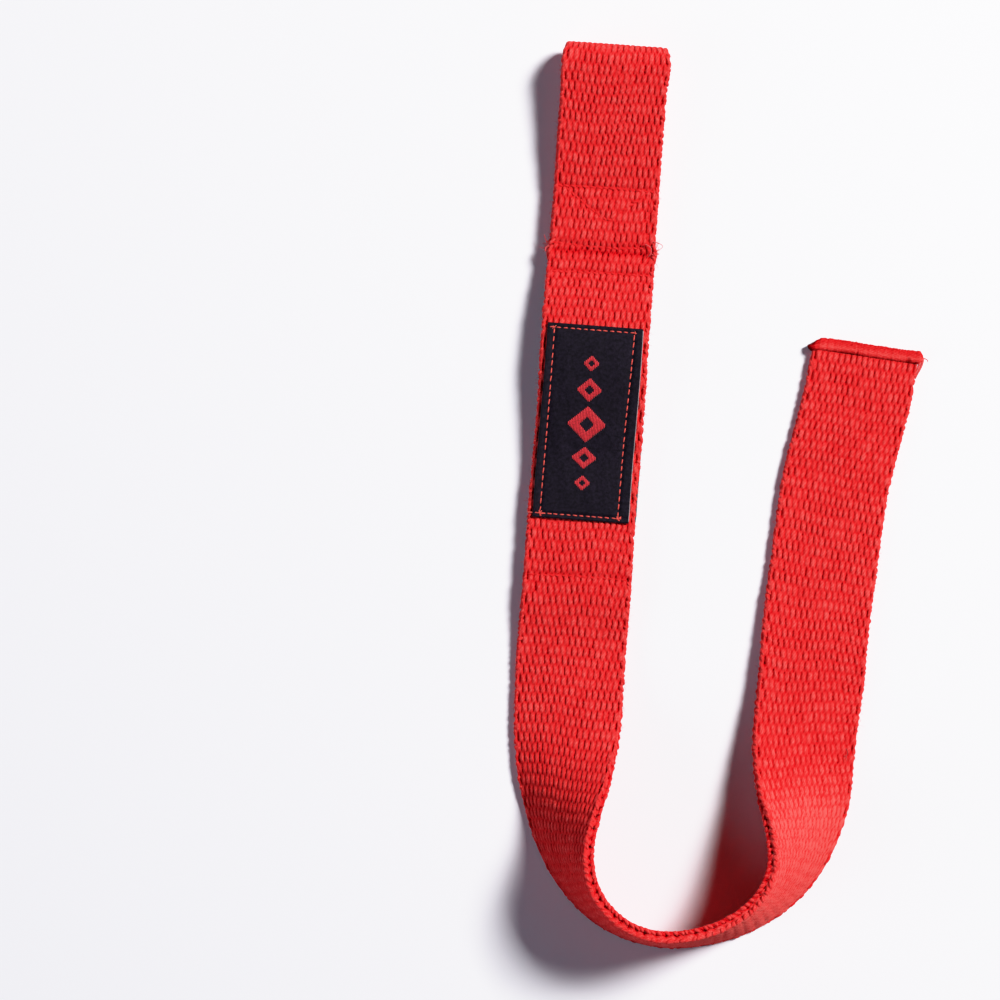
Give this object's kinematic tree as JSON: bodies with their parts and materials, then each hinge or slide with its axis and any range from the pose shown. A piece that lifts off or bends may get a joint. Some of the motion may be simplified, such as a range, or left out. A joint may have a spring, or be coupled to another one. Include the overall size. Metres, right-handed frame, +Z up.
{
  "type": "weightlifting strap",
  "caption": "Flat red cotton weightlifting strap with a sewn end loop, a black wrist pad, a black woven label and an overcast free end, laid open in a U.",
  "frame": {"origin": "middle of the laid strap's footprint, on the surface it lies on", "axes": "+Y along the legs towards the end loop, +X from the loop's leg to the free end's leg, +Z up"},
  "size_m": [0.144, 0.3176, 0.0375],
  "materials": {
    "webbing_cotton": "heavy woven cotton, matte",
    "pad_felt": "felted, matte",
    "label_cloth": "fine woven, soft sheen",
    "binding_thread": "dense overcast thread, soft sheen"
  },
  "bodies": {
    "root": {"webbing": "webbing_cotton", "wrist_pad": "pad_felt", "label": "label_cloth", "end_binding": "binding_thread"}
  },
  "joints": []
}
